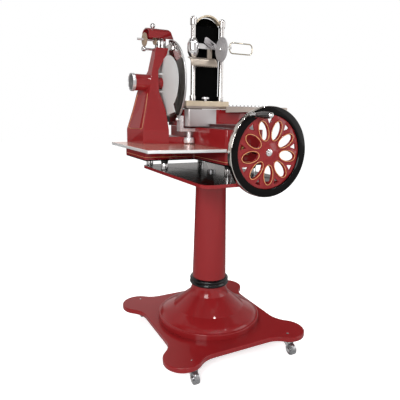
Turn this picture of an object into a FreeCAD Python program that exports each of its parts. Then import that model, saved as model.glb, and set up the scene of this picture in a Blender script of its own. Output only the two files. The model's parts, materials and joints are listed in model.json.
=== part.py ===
import FreeCAD, Part
import math
import os
import re
import sys

import Sketcher

V = FreeCAD.Vector

# Hand crank meat slicer on a wheeled pedestal, millimetres, +Z up.
# X runs along the blade shaft, Y along the stroke of the carriage.
# Sizes are laid out from the pedestal's axis at floor level, and LAYOUT_SHIFT then
# brings the middle of the whole object's footprint to the origin.

SIZES = {
    # pedestal
    "caster_height": 65,
    "caster_wheel_radius": 26,
    "caster_wheel_width": 24,
    "caster_trail": 30,
    "caster_x": 246,
    "caster_y": 318,
    "lobe_x": 268,
    "lobe_y": 278,
    "lobe_radius": 85,
    "waist_x": 283,
    "waist_y": 315,
    "waist_fillet": 110,
    "plate_thick": 23,
    "bell_radius": 248,
    "bell_rim": 28,
    "bell_neck_radius": 82,
    "bell_height": 178,
    "collar_height": 36,
    "collar_radius": 94,
    "column_low_radius": 81,
    "column_top_radius": 70,
    "column_wall": 6,
    "head_top": 812,
    "head_thick": 14,
    "head_wide": 420,
    "head_deep": 702,
    "head_shift": 20,
    "head_corner": 42,
    "tie_radius": 10,
    # machine base
    "foot_height": 54,
    "foot_radius": 17,
    "foot_chrome": 32,
    "foot_inset": 32,
    "wing_foot_x": -178,
    "back_foot_y": 338,
    "base_left": -36,
    "base_right": 150,
    "base_front": -192,
    "base_back": 402,
    "base_top": 1013,
    "base_wall": 9,
    "wing_left": -286,
    "wing_front": 106,
    "wing_top": 922,
    "cover_thick": 6,
    # slice tray
    "tray_thick": 13,
    "tray_left": -374,
    "tray_left_front": -168,
    "tray_right_front": -212,
    "tray_back": 330,
    # tower and blade
    "blade_y": 249,
    "blade_z": 1217,
    "blade_x": -106,
    "blade_radius": 184,
    "blade_thick": 5,
    "blade_bore": 15,
    "guard_radius": 201,
    "guard_width": 14,
    "tower_left": -284,
    "tower_right": -152,
    "tower_slant": 14,
    "tower_top": 1377,
    "shaft_radius": 14,
    "bush_wall": 5,
    "flange_thick": 8,
    "flange_radius": 34,
    "shield_x": -150,
    "shield_y": 166,
    "shield_radius": 118,
    "shield_thick": 2.5,
    "chain_x": -190,
    "sprocket_radius": 20,
    "sprocket_thick": 6,
    "chain_thick": 4,
    "cross_radius": 9,
    "bridge_top": 966,
    "housing_radius": 38,
    "housing_left": -288,
    "cap_length": 15,
    "cap_radius": 41,
    # flywheel
    "wheel_x": 60,
    "wheel_z": 932,
    "wheel_front": -365,
    "wheel_radius": 179,
    "wheel_rim": 33,
    "wheel_wide": 28,
    "web_thick": 9,
    "hub_radius": 30,
    "petal_count": 9,
    "petal_middle": 89,
    "petal_long": 42,
    "petal_wide": 24,
    "petal_lip": 4.5,
    "petal_rise": 5,
    "drive_radius": 14,
    "pin_x": -30,
    "pin_z": 1076,
    "bevel_radius": 30,
    "bevel_wide": 10,
    "pin_radius": 5,
    "grip_radius": 12,
    "grip_length": 84,
    "ferrule_length": 32,
    # carriage and meat table
    "carriage_left": -91,
    "carriage_right": 250,
    "carriage_front": 60,
    "carriage_back": 300,
    "carriage_low": 1018,
    "carriage_top": 1097,
    "cover_right": 53,
    "way_left": 20,
    "way_right": 110,
    "way_height": 18,
    "table_left": -96,
    "table_right": 430,
    "table_front": 6,
    "table_back": 205,
    "table_low": 1100,
    "table_thick": 11,
    "bar_right": 128,
    "bar_front": 72,
    "bar_deep": 38,
    "bar_height": 24,
    "post_left": -58,
    "post_right": 88,
    "post_y": 88,
    "post_radius": 11,
    "post_top": 1500,
    "arch_top": 1513,
    "table_apron": 75,
    "screw_radius": 8,
    "screw_y": 180,
    "screw_z": 1080,
    "wing_x": 5,
    "clamp_z": 1368,
    "disc_x": 34,
    "disc_y": 0,
    "disc_z": 1357,
    "disc_radius": 53,
    "lever_x": 28,
    "lever_z": 1376,
    "loop_x": 81,
    "loop_long": 120,
    "loop_bend": 17,
    "loop_wire": 2.5,
    # sharpener
    "sharp_x": -222,
    "sharp_y": 256,
    "sharp_z": 1412,
    "sharp_long": 122,
    "sharp_gap": 27,
    # running and assembly clearances
    "running_gap": 0.05,
}

doc = FreeCAD.newDocument("meat_slicer")
sheet = doc.addObject("Spreadsheet::Sheet", "Sizes")
for row, (alias, value) in enumerate(SIZES.items(), start=1):
    sheet.set("A%d" % row, alias)
    sheet.set("B%d" % row, str(value))
    sheet.setAlias("B%d" % row, alias)
doc.recompute()

NODES = []
TOWER = []


def linked(text):
    """Turn a formula over size names into one that reads the sheet."""
    def swap(match):
        word = match.group(0)
        return "Sizes." + word if word in SIZES else word
    return re.sub(r"[a-z][a-z_]*[a-z]", swap, str(text))


def number(text):
    return float(sheet.evalExpression(linked(text)))


def bind(thing, prop, text):
    thing.setExpression(prop, linked(text))


def seat(thing, at):
    for axis, text in zip("xyz", at):
        bind(thing, ".Placement.Base." + axis, text)


def node(thing, label):
    thing.Label = label
    NODES.append(thing)
    return thing


def box(name, size, at):
    thing = doc.addObject("Part::Box", name)
    for prop, text in zip(("Length", "Width", "Height"), size):
        bind(thing, prop, text)
    seat(thing, at)
    return thing


TURN = {
    "z": FreeCAD.Rotation(),
    "x": FreeCAD.Rotation(V(0, 1, 0), 90),
    "y": FreeCAD.Rotation(V(1, 0, 0), -90),
    "-z": FreeCAD.Rotation(V(1, 0, 0), 180),
    "-x": FreeCAD.Rotation(V(0, 1, 0), -90),
    "-y": FreeCAD.Rotation(V(1, 0, 0), 90),
}


def rod(name, radius, length, at, axis="z"):
    thing = doc.addObject("Part::Cylinder", name)
    thing.Placement.Rotation = TURN[axis]
    bind(thing, "Radius", radius)
    bind(thing, "Height", length)
    seat(thing, at)
    return thing


def cone(name, low, high, length, at, axis="z"):
    thing = doc.addObject("Part::Cone", name)
    thing.Placement.Rotation = TURN[axis]
    bind(thing, "Radius1", low)
    bind(thing, "Radius2", high)
    bind(thing, "Height", length)
    seat(thing, at)
    return thing


def ring(name, radius, thick, at, axis="z"):
    thing = doc.addObject("Part::Torus", name)
    thing.Placement.Rotation = TURN[axis]
    bind(thing, "Radius1", radius)
    bind(thing, "Radius2", thick)
    seat(thing, at)
    return thing


def fuse(name, things):
    whole = doc.addObject("Part::MultiFuse", name)
    whole.Shapes = things
    whole.Refine = True
    return whole


def cut(name, base, tools):
    whole = doc.addObject("Part::Cut", name)
    whole.Base = base
    whole.Tool = tools[0] if len(tools) == 1 else fuse(name + "_tools", tools)
    return whole


def group(name, things):
    whole = doc.addObject("Part::Compound", name)
    whole.Links = things
    return whole


def rounded(name, base, radius, pick):
    """Fillet the edges of base that pick chooses."""
    doc.recompute()
    size = number(radius)
    edges = [(i, size, size) for i, edge in enumerate(base.Shape.Edges, start=1) if pick(edge)]
    whole = doc.addObject("Part::Fillet", name)
    whole.Base = base
    whole.Edges = edges
    return whole


def upright(edge):
    ends = [v.Point for v in edge.Vertexes]
    return len(ends) == 2 and abs(ends[0].x - ends[1].x) + abs(ends[0].y - ends[1].y) < 1e-4


def plane_of(body, role):
    return [f for f in body.Origin.OriginFeatures if f.Role == role][0]


def outline(body, name, role, points, offset="0"):
    """Draw a closed outline whose corners are bound to the sheet.

    A third and fourth value in a point make the run to the next point an arc through
    that place.
    """
    sketch = body.newObject("Sketcher::SketchObject", name)
    sketch.AttachmentSupport = [(plane_of(body, role), "")]
    sketch.MapMode = "FlatFace"
    bind(sketch, "AttachmentOffset.Base.z", offset)
    places = [V(number(p[0]), number(p[1]), 0) for p in points]
    first_end = []
    for i, point in enumerate(points):
        start = places[i]
        end = places[(i + 1) % len(points)]
        clockwise = False
        if len(point) == 4:
            through = V(number(point[2]), number(point[3]), 0)
            sketch.addGeometry(Part.Arc(start, through, end), False)
            sketch.addConstraint(Sketcher.Constraint("Radius", i, sketch.Geometry[i].Radius))
            clockwise = (through - start).cross(end - through).z < 0
        else:
            sketch.addGeometry(Part.LineSegment(start, end), False)
        first_end.append(2 if clockwise else 1)
    for i, point in enumerate(points):
        for axis, text, value in (("DistanceX", point[0], places[i].x), ("DistanceY", point[1], places[i].y)):
            made = sketch.addConstraint(Sketcher.Constraint(axis, -1, 1, i, first_end[i], value))
            bind(sketch, "Constraints[%d]" % made, text)
        following = (i + 1) % len(points)
        sketch.addConstraint(Sketcher.Constraint("Coincident", i, 3 - first_end[i],
                                                 following, first_end[following]))
    return sketch


def body_of(name):
    return doc.addObject("PartDesign::Body", name)


def pad(body, sketch, length, reverse=False):
    feature = body.newObject("PartDesign::Pad", sketch.Name + "_pad")
    feature.Profile = sketch
    bind(feature, "Length", length)
    feature.Reversed = reverse
    return feature


def padded(name, role, points, length, offset="0", reverse=False):
    body = body_of(name)
    pad(body, outline(body, name + "_outline", role, points, offset), length, reverse)
    return body


def turned(name, points, at=("0", "0", "0"), axis="z"):
    """Revolve a half section, given as radius and height, about its own axis."""
    body = body_of(name)
    sketch = outline(body, name + "_section", "XZ_Plane", points)
    feature = body.newObject("PartDesign::Revolution", name + "_turn")
    feature.Profile = sketch
    feature.ReferenceAxis = (plane_of(body, "Z_Axis"), [""])
    feature.Angle = 360
    body.Placement.Rotation = TURN[axis]
    seat(body, at)
    return body


def loft(name, sections):
    """Loft through outlines, each given as its height and its corner points."""
    body = body_of(name)
    sketches = [outline(body, "%s_%d" % (name, i), "XY_Plane", points, level)
                for i, (level, points) in enumerate(sections)]
    feature = body.newObject("PartDesign::AdditiveLoft", name + "_loft")
    feature.Profile = sketches[0]
    feature.Sections = sketches[1:]
    feature.Ruled = True
    return body


def pedestal():
    plate_low = "caster_height"
    slab = box("plate_slab", ("2*waist_x", "2*waist_y", "plate_thick"),
               ("-waist_x", "-waist_y", plate_low))
    lobes = [rod("plate_lobe_%d" % i, "lobe_radius", "plate_thick",
                 ("%d*lobe_x" % sx, "%d*lobe_y" % sy, plate_low))
             for i, (sx, sy) in enumerate(CORNERS)]
    blank = fuse("plate_blank", [slab] + lobes)
    doc.recompute()
    lobe_centres = [V(sx * number("lobe_x"), sy * number("lobe_y"), 0) for sx, sy in CORNERS]

    def in_throat(edge):
        if not upright(edge):
            return False
        spot = V(edge.Vertexes[0].X, edge.Vertexes[0].Y, 0)
        reach = min((spot - c).Length for c in lobe_centres)
        return abs(reach - number("lobe_radius")) < 0.01
    swept = rounded("plate_swept", blank, "waist_fillet", in_throat)
    holes = [rod("plate_hole_%d" % i, "5.5", "plate_thick",
                 ("%d*caster_x" % sx, "%d*caster_y" % sy, plate_low))
             for i, (sx, sy) in enumerate(CORNERS)]
    tie = rod("plate_tie_hole", "tie_radius + 0.5", "plate_thick", ("0", "0", plate_low))
    pockets = [box("plate_pocket_%d" % i, ("waist_x - 48", "waist_y - 68", "plate_thick - 9"),
                   ("8" if sx > 0 else "40 - waist_x", "8" if sy > 0 else "60 - waist_y", plate_low))
               for i, (sx, sy) in enumerate(CORNERS)]
    boss = rod("plate_boss", "40", "plate_thick", ("0", "0", plate_low))
    ribbed = cut("plate_ribbed", swept, [cut("plate_pockets", fuse("plate_pocket_set", pockets), [boss])])
    node(cut("plate_cut", ribbed, holes + [tie]), "base_plate")

    bell_low = "caster_height + plate_thick"
    neck = "bell_neck_radius"
    bell = turned("bell_body", [
        ("bell_radius - 12", "0"),
        ("bell_radius", "0"),
        ("bell_radius", "bell_rim - 8", "bell_radius - 2.4", "bell_rim - 2.4"),
        ("bell_radius - 8", "bell_rim",
         neck + " + 0.30*(bell_radius - bell_neck_radius)", "bell_rim + 0.24*(bell_height - bell_rim)"),
        (neck, "bell_height"),
        (neck + " - 9", "bell_height"),
        (neck + " - 9", "bell_height - 4",
         neck + " + 0.30*(bell_radius - bell_neck_radius) - 10", "bell_rim + 0.24*(bell_height - bell_rim) - 8"),
        ("bell_radius - 12", "bell_rim - 10"),
    ], ("0", "0", bell_low))
    node(bell, "bell_foot")

    collar_low = bell_low + " + bell_height"
    collar = turned("collar_body", [
        ("column_low_radius - column_wall", "0"),
        ("bell_neck_radius + 4", "0"),
        ("collar_radius - 3", "4", "collar_radius", "0.25*collar_height + 2"),
        ("collar_radius - 4", "0.5*collar_height"),
        ("collar_radius - 5", "0.5*collar_height + 1", "collar_radius - 1", "0.72*collar_height"),
        ("collar_radius - 6", "collar_height - 4"),
        ("column_low_radius + 2", "collar_height"),
        ("column_low_radius - column_wall", "collar_height"),
    ], ("0", "0", collar_low))
    node(collar, "foot_collar")

    column_low = collar_low + " + collar_height"
    column_tall = "head_top - head_thick - (%s)" % column_low
    column = turned("column_body", [
        ("column_low_radius - column_wall", "0"),
        ("column_low_radius", "0"),
        ("column_top_radius", column_tall),
        ("column_top_radius - column_wall", column_tall),
    ], ("0", "0", column_low))
    node(column, "column")

    half_wide = "0.5*head_wide"
    slab = box("head_slab", ("head_wide", "head_deep", "head_thick"),
               ("-" + half_wide, "head_shift - 0.5*head_deep", "head_top - head_thick"))
    head = rounded("head_rounded", slab, "head_corner", upright)
    node(cut("head_cut", head, [rod("head_tie_hole", "tie_radius + 0.5", "head_thick",
                                    ("0", "0", "head_top - head_thick"))]), "head_plate")

    tie_low = "caster_height - 9"
    rod_part = rod("tie_shank", "tie_radius", "head_top + 11 - (%s)" % tie_low, ("0", "0", tie_low))
    nuts = [rod("tie_nut_low", "20", "9", ("0", "0", tie_low)),
            rod("tie_nut_top", "20", "9", ("0", "0", "head_top"))]
    node(fuse("tie_parts", [rod_part] + nuts), "tie_rod")


CORNERS = [(-1, -1), (1, -1), (1, 1), (-1, 1)]
CORNER_NAMES = ["front_left", "front_right", "back_right", "back_left"]


def caster(index):
    sx, sy = CORNERS[index]
    name = CORNER_NAMES[index]
    x = "%d*caster_x" % sx
    y = "%d*caster_y" % sy
    wheel_y = y + " - caster_trail"
    top = rod(name + "_top", "24", "5", (x, y, "caster_height - 7"))
    stem = rod(name + "_stem", "5", "plate_thick + 3", (x, y, "caster_height - 3"))
    race = cone(name + "_race", "21", "26", "5", (x, y, "caster_height - 12"))
    cheeks = []
    for side, shift in (("left", "-0.5*caster_wheel_width - 4.5"), ("right", "0.5*caster_wheel_width + 1.5")):
        cheek = padded("%s_cheek_%s" % (name, side), "YZ_Plane", [
            (y + " + 17", "caster_height - 10"),
            (wheel_y + " - 9", "caster_wheel_radius - 2", wheel_y + " + 1", "caster_wheel_radius - 11"),
            (wheel_y + " + 10", "caster_wheel_radius + 1"),
            (wheel_y + " + 4", "caster_height - 10"),
        ], "3", offset=x + " + " + shift)
        cheeks.append(cheek)
    pin = rod(name + "_axle", "3.5", "caster_wheel_width + 11",
              (x + " - 0.5*caster_wheel_width - 5.5", wheel_y, "caster_wheel_radius"), "x")
    fork = fuse(name + "_fork", [top, stem, race, pin] + cheeks)
    node(fork, "caster_fork_" + name)
    wheel = turned(name + "_wheel", [
        ("3.5 + running_gap", "0"),
        ("9", "0"),
        ("10", "1.5"),
        ("caster_wheel_radius - 6", "1.5"),
        ("caster_wheel_radius - 3", "0"),
        ("caster_wheel_radius", "3"),
        ("caster_wheel_radius", "caster_wheel_width - 3"),
        ("caster_wheel_radius - 3", "caster_wheel_width"),
        ("caster_wheel_radius - 6", "caster_wheel_width - 1.5"),
        ("10", "caster_wheel_width - 1.5"),
        ("9", "caster_wheel_width"),
        ("3.5 + running_gap", "caster_wheel_width"),
    ], (x + " - 0.5*caster_wheel_width", wheel_y, "caster_wheel_radius"), "x")
    node(wheel, "caster_wheel_" + name)


def machine_feet():
    spots = [("base_left + foot_inset", "base_front + foot_inset"),
             ("base_right - foot_inset", "base_front + foot_inset"),
             ("base_right - foot_inset", "back_foot_y"),
             ("wing_foot_x", "back_foot_y"),
             ("wing_foot_x", "wing_front + foot_inset")]
    chrome = [rod("foot_%d" % i, "foot_radius", "foot_chrome", (x, y, "head_top"))
              for i, (x, y) in enumerate(spots)]
    node(group("feet", chrome), "machine_feet")
    pads = [cone("foot_pad_%d" % i, "foot_radius - 2", "foot_radius + 2",
                 "foot_height - foot_chrome - cover_thick", (x, y, "head_top + foot_chrome"))
            for i, (x, y) in enumerate(spots)]
    node(group("pads", pads), "foot_pads")


def base_points(inset):
    """The L shaped plan of the base casting, drawn in by inset."""
    return [("base_left + " + inset, "base_front + " + inset),
            ("base_right - " + inset, "base_front + " + inset),
            ("base_right - " + inset, "base_back - " + inset),
            ("wing_left + " + inset, "base_back - " + inset),
            ("wing_left + " + inset, "wing_front + " + inset),
            ("base_left + " + inset, "wing_front + " + inset)]


def machine_base():
    low = "head_top + foot_height"
    inner_top = "base_top - base_wall - (%s)" % low
    trunk = box("base_trunk", ("base_right - base_left", "base_back - base_front", "base_top - (%s)" % low),
                ("base_left", "base_front", low))
    wing = box("base_wing", ("base_left - wing_left + 20", "base_back - wing_front", "wing_top - (%s)" % low),
               ("wing_left", "wing_front", low))
    bridge = box("base_bridge", ("base_left - tower_right + 20", "200", "bridge_top - wing_top + 5"),
                 ("tower_right", "blade_y - 100", "wing_top - 5"))
    blank = fuse("base_blank", [trunk, wing, bridge])

    def outer_corner(edge):
        return upright(edge) and edge.Length > number("wing_top - head_top - foot_height") - 1
    soft = rounded("base_soft", blank, "12", outer_corner)
    hollow = box("base_hollow", ("base_right - base_left - 2*base_wall",
                                 "base_back - base_front - 2*base_wall", inner_top),
                 ("base_left + base_wall", "base_front + base_wall", low))
    wing_hollow = box("wing_hollow", ("base_left - wing_left + 20", "base_back - wing_front - 2*base_wall",
                                      "wing_top - base_wall - (%s)" % low),
                      ("wing_left + base_wall", "wing_front + base_wall", low))
    shaft_hole = rod("base_shaft_hole", "drive_radius + bush_wall", "base_wall + 2",
                     ("wheel_x", "base_front - 1", "wheel_z"), "y")
    cross_hole = rod("base_cross_hole", "cross_radius + bush_wall", "base_left + base_wall + 1 - tower_right",
                     ("tower_right - 0.5", "blade_y", "wheel_z"), "x")
    well = box("chain_well", ("sprocket_thick + 10", "2*(sprocket_radius + chain_thick + 4)", "wing_top - 880"),
               ("chain_x - 0.5*sprocket_thick - 5", "blade_y - sprocket_radius - chain_thick - 4", "880"))
    node(cut("base_cut", soft, [hollow, wing_hollow, shaft_hole, cross_hole, well]), "machine_base")
    cover = padded("cover_body", "XY_Plane", base_points("3"), "cover_thick", offset=low + " - cover_thick")
    node(cover, "base_cover")


def slice_tray():
    plate = padded("tray_body", "XY_Plane", [
        ("tray_left", "tray_left_front"),
        ("base_left - 10", "tray_right_front"),
        ("base_left - 0.5", "base_front - 4"),
        ("base_left - 0.5", "blade_y - 101"),
        ("tower_right - 1", "blade_y - 106"),
        ("tower_left + tower_slant - 1", "blade_y - 74"),
        ("tower_left - tower_slant - 1", "tray_back"),
        ("tray_left - 4", "tray_back"),
    ], "tray_thick", offset="wing_top")
    node(plate, "slice_tray")


def tower_section(left, right, half_left, half_right, slant="0"):
    return [(left + " + " + slant, "blade_y - " + half_left),
            (right, "blade_y - " + half_right),
            (right, "blade_y + " + half_right),
            (left + " - " + slant, "blade_y + " + half_left + " + " + slant)]


def tower():
    low = "wing_top"
    skin = loft("tower_skin", [
        (low, tower_section("tower_left", "tower_right", "72", "105", "tower_slant")),
        ("wing_top + 76", tower_section("tower_left", "tower_right", "72", "103", "tower_slant")),
        ("wing_top + 170", tower_section("tower_left + 28", "tower_right - 4", "56", "72", "tower_slant - 3")),
        ("blade_z - 42", tower_section("tower_left + 48", "tower_right - 26", "42", "44", "tower_slant - 4")),
        ("blade_z + 56", tower_section("tower_left + 78", "tower_right - 26", "30", "34", "0")),
        ("tower_top - 26", tower_section("tower_left + 95", "tower_right + 22", "26", "28", "0")),
        ("tower_top", tower_section("tower_left + 101", "tower_right + 28", "26", "28", "0")),
    ])
    housing = rod("tower_housing", "housing_radius", "chain_x - housing_left",
                  ("housing_left", "blade_y", "blade_z"), "x")
    boss = rod("tower_boss", "flange_radius - 6", "blade_x - blade_thick - flange_thick - 1 - chain_x",
               ("chain_x", "blade_y", "blade_z"), "x")
    bore = rod("tower_bore", "shaft_radius + bush_wall", "blade_x - housing_left + 20",
               ("housing_left - 10", "blade_y", "blade_z"), "x")
    slot = box("tower_slot", ("sprocket_thick + 10", "2*(sprocket_radius + chain_thick + 4)",
                              "blade_z - wing_top + sprocket_radius + chain_thick + 5"),
               ("chain_x - 0.5*sprocket_thick - 5", "blade_y - sprocket_radius - chain_thick - 4", low))
    cross = rod("tower_cross_bore", "cross_radius + bush_wall", "tower_right - chain_x + 1",
                ("chain_x", "blade_y", "wheel_z"), "x")
    whole = node(cut("tower_cut", fuse("tower_blank", [skin, housing, boss]), [bore, slot, cross]), "tower")
    TOWER.append(whole)
    cap = turned("cap_body", [
        ("0", "0"),
        ("cap_radius - 5", "0", "cap_radius - 1.4", "1.4"),
        ("cap_radius", "4"),
        ("cap_radius", "cap_length"),
        ("0", "cap_length"),
    ], ("housing_left - cap_length", "blade_y", "blade_z"), "x")
    node(cap, "shaft_cap")
    panel = loft("panel_skin", [
        (level, [("tower_left + %s" % near, "blade_y - " + half), ("tower_left + %s + 16" % near, "blade_y - " + half),
                 ("tower_left + %s + 16" % far, "blade_y + " + half), ("tower_left + %s" % far, "blade_y + " + half)])
        for level, near, far, half in (("wing_top + 82", "5", "-9", "46"),
                                       ("wing_top + 168", "30.5", "20", "32"),
                                       ("blade_z - 60", "45.5", "37", "24"))])
    node(cut("panel_cut", panel, [whole]), "tower_panel")


def bushes():
    shaft_bushes = []
    for i, (start, length) in enumerate((("housing_left", "30"), ("chain_x + 0.5*sprocket_thick + 5.5",
                                                                  "blade_x - blade_thick - flange_thick - 2"
                                                                  " - chain_x - 0.5*sprocket_thick - 5.5"))):
        shell = rod("blade_bush_%d" % i, "shaft_radius + bush_wall", length, (start, "blade_y", "blade_z"), "x")
        hole = rod("blade_bush_hole_%d" % i, "shaft_radius + running_gap", length,
                   (start, "blade_y", "blade_z"), "x")
        shaft_bushes.append(cut("blade_bush_cut_%d" % i, shell, [hole]))
    shell = rod("drive_bush_shell", "drive_radius + bush_wall", "base_wall",
                ("wheel_x", "base_front", "wheel_z"), "y")
    lip = rod("drive_bush_lip", "drive_radius + bush_wall + 6", "6", ("wheel_x", "base_front - 6", "wheel_z"), "y")
    hole = rod("drive_bush_hole", "drive_radius + running_gap", "base_wall + 6",
               ("wheel_x", "base_front - 6", "wheel_z"), "y")
    drive_bush = cut("drive_bush_cut", fuse("drive_bush_blank", [shell, lip]), [hole])
    shell = rod("cross_bush_shell", "cross_radius + bush_wall", "base_left + base_wall - tower_right",
                ("tower_right", "blade_y", "wheel_z"), "x")
    hole = rod("cross_bush_hole", "cross_radius + running_gap", "base_left + base_wall - tower_right",
               ("tower_right", "blade_y", "wheel_z"), "x")
    cross_bush = cut("cross_bush_cut", shell, [hole])
    node(group("bush_set", shaft_bushes + [drive_bush, cross_bush]), "shaft_bushes")


def blade_unit():
    blade = turned("blade_body", [
        ("blade_bore", "0"),
        ("flange_radius + 1", "0"),
        ("blade_radius*0.8", "-0.8"),
        ("blade_radius", "blade_thick - 1"),
        ("blade_radius", "blade_thick"),
        ("blade_radius*0.72", "blade_thick"),
        ("blade_bore", "blade_thick - 1.5"),
    ], ("blade_x - blade_thick", "blade_y", "blade_z"), "x")
    node(blade, "blade")
    shaft = rod("blade_shaft_rod", "shaft_radius", "blade_x - blade_thick - housing_left",
                ("housing_left + 1", "blade_y", "blade_z"), "x")
    flange = rod("blade_flange", "flange_radius", "flange_thick",
                 ("blade_x - blade_thick - flange_thick", "blade_y", "blade_z"), "x")
    spigot = rod("blade_spigot", "blade_bore", "blade_thick - 1.5",
                 ("blade_x - blade_thick", "blade_y", "blade_z"), "x")
    node(fuse("blade_shaft_parts", [shaft, flange, spigot, sprocket("blade_sprocket", "blade_z")]),
         "blade_shaft")


def sprocket(name, height):
    return rod(name, "sprocket_radius", "sprocket_thick",
               ("chain_x - 0.5*sprocket_thick", "blade_y", height), "x")


def blade_guard():
    band = turned("guard_band", [
        ("guard_radius - guard_width", "0"),
        ("guard_radius - guard_width - 6", "-2"),
        ("guard_radius - guard_width - 6", "-4"),
        ("guard_radius - 3", "-4", "guard_radius - 0.9", "-3.1"),
        ("guard_radius", "-1"),
        ("guard_radius", "4"),
        ("guard_radius - guard_width", "4"),
    ], ("blade_x - 5", "blade_y", "blade_z"), "x")
    back = box("guard_back", ("40", "2*guard_radius", "2*guard_radius + 20"),
               ("blade_x - 20", "blade_y - 12", "blade_z - guard_radius - 10"))
    under = box("guard_under", ("40", "2*guard_radius", "guard_radius"),
                ("blade_x - 20", "blade_y - 1.4*guard_radius", "blade_z - 0.75*guard_radius - guard_radius"))
    node(cut("guard_cut", band, [back, under]), "blade_guard")
    foot_y = "blade_y - 0.66*guard_radius - 16"
    post = box("bracket_post", ("16", "40", "0.25*guard_radius + 12"),
               ("blade_x - 8", foot_y, "blade_z - guard_radius - 12"))
    arm = box("bracket_arm", ("base_left - blade_x + 8", "26", "14"),
              ("blade_x - 8", foot_y, "base_top - 19"))
    stem = box("bracket_stem", ("16", "40", "blade_z - guard_radius - base_top + 11"),
               ("blade_x - 8", foot_y, "base_top - 19"))
    spindle = rod("dial_spindle", "6", "55", ("blade_x + 44", foot_y + " + 13", "base_top - 19 - 54"))
    knob = turned("bracket_knob", [
        ("0", "0"), ("5", "0"), ("7.5", "4"), ("7.5", "8"), ("3", "11"), ("3", "17"), ("0", "17"),
    ], ("blade_x - 24", foot_y + " + 13", "blade_z - guard_radius + 34"), "x")
    node(fuse("bracket_parts", [post, arm, stem, spindle, knob]), "guard_bracket")


def slice_shield():
    disc = rod("shield_disc", "shield_radius", "shield_thick", ("shield_x", "shield_y", "blade_z + 2"), "x")
    skirt = padded("shield_skirt", "YZ_Plane", [
        ("shield_y - 0.88*shield_radius", "blade_z - 60"),
        ("shield_y + 0.88*shield_radius", "blade_z - 60"),
        ("shield_y + 60", "blade_z - 125"),
        ("shield_y + 74", "blade_z - 156"),
        ("shield_y - 84", "blade_z - 134"),
        ("shield_y - 62", "blade_z - 100"),
    ], "shield_thick", offset="shield_x")
    studs = [rod("shield_stud_%d" % i, "5", "shield_x - tower_right + 29",
                 ("tower_right - 29", "blade_y - 14", "blade_z + %d" % rise), "x")
             for i, rise in enumerate((-40, 42))]
    opening = rod("shield_opening", "flange_radius - 5", "12", ("shield_x - 5", "blade_y", "blade_z"), "x")
    node(cut("shield_cut", fuse("shield_plate", [disc, skirt] + studs), [TOWER[0], opening]), "slice_shield")


def flywheel():
    """Nine petalled web inside a heavy polished rim; faces look towards -Y."""
    rim_inner = "wheel_radius - wheel_rim"
    rim = turned("rim_body", [
        (rim_inner + " + 3", "1"),
        (rim_inner, "4"),
        (rim_inner, "wheel_wide - 3"),
        (rim_inner + " + 3", "wheel_wide"),
        ("wheel_radius - 3", "wheel_wide"),
        ("wheel_radius", "wheel_wide - 3"),
        ("wheel_radius", "5", "wheel_radius - 1.5", "1.5"),
        ("wheel_radius - 5", "0"),
    ], ("wheel_x", "wheel_front", "wheel_z"), "y")
    node(rim, "flywheel_rim")

    web_low = "wheel_front + 9"
    body = body_of("web_body")
    seat(body, ("wheel_x", web_low, "wheel_z"))
    body.Placement.Rotation = TURN["-y"]
    disc = outline(body, "web_section", "XZ_Plane", [
        ("drive_radius", "-web_thick - 6"),
        ("hub_radius", "-web_thick - 6"),
        ("hub_radius + 3", "-web_thick"),
        (rim_inner, "-web_thick"),
        (rim_inner, "0"),
        ("hub_radius + 6", "0"),
        ("hub_radius", "3"),
        ("drive_radius", "3"),
    ])
    turn = body.newObject("PartDesign::Revolution", "web_turn")
    turn.Profile = disc
    turn.ReferenceAxis = (plane_of(body, "Z_Axis"), [""])
    turn.Angle = 360
    lip = oval(body, "petal_lip_outline", "petal_long", "petal_wide", "petal_rise")
    raised = pad(body, lip, "petal_rise + 2", reverse=True)
    hole = oval(body, "petal_hole_outline", "petal_long - petal_lip", "petal_wide - petal_lip", "petal_rise + 1")
    opened = pocket(body, hole, "petal_rise + web_thick + 4")
    spread(body, "petals", [raised, opened])
    vee = outline(body, "vee_outline", "XY_Plane", [
        ("-13*cos(20) + 134*sin(20)", "-13*sin(20) - 134*cos(20)"),
        ("107*sin(20)", "-107*cos(20)"),
        ("13*cos(20) + 134*sin(20)", "13*sin(20) - 134*cos(20)"),
    ], "petal_rise + 1")
    spread(body, "vees", [pocket(body, vee, "petal_rise + web_thick + 4")])
    node(body, "flywheel_web")

    screw = rod("hub_washer", "13", "3", ("wheel_x", "wheel_front + 3", "wheel_z"), "y")
    head = rod("hub_head", "8", "5", ("wheel_x", "wheel_front - 2", "wheel_z"), "y")
    shaft = rod("drive_shaft_rod", "drive_radius", "blade_y - 22 - wheel_front - 6",
                ("wheel_x", "wheel_front + 6", "wheel_z"), "y")
    collar = rod("drive_collar", "drive_radius + 7", "10", ("wheel_x", "base_front - 6.4 - 10", "wheel_z"), "y")
    node(fuse("drive_shaft_parts", [shaft, collar, screw, head]), "drive_shaft")

    pin_low = "wheel_front - ferrule_length - grip_length - 5"
    pin = rod("crank_pin_rod", "pin_radius", "ferrule_length + grip_length + 5", ("pin_x", pin_low, "pin_z"), "y")
    ferrule = turned("ferrule_body", [
        ("0", "0"), ("9", "0"), ("10", "ferrule_length - 8"), ("12.5", "ferrule_length"), ("0", "ferrule_length"),
    ], ("pin_x", "wheel_front - ferrule_length", "pin_z"), "y")
    knob = turned("pin_end_body", [
        ("0", "0"), ("5", "0"), ("10", "5"), ("10", "7"), ("0", "7"),
    ], ("pin_x", pin_low + " - 2", "pin_z"), "y")
    node(fuse("crank_pin_parts", [pin, ferrule, knob]), "crank_pin")
    grip = turned("grip_body", [
        ("pin_radius + running_gap", "0"),
        ("grip_radius - 2", "0"),
        ("grip_radius - 1", "3", "grip_radius + 1", "0.45*grip_length"),
        ("grip_radius - 2.5", "grip_length - 1"),
        ("pin_radius + running_gap", "grip_length - 1"),
    ], ("pin_x", pin_low + " + 5.4", "pin_z"), "y")
    node(grip, "crank_grip")


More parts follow.
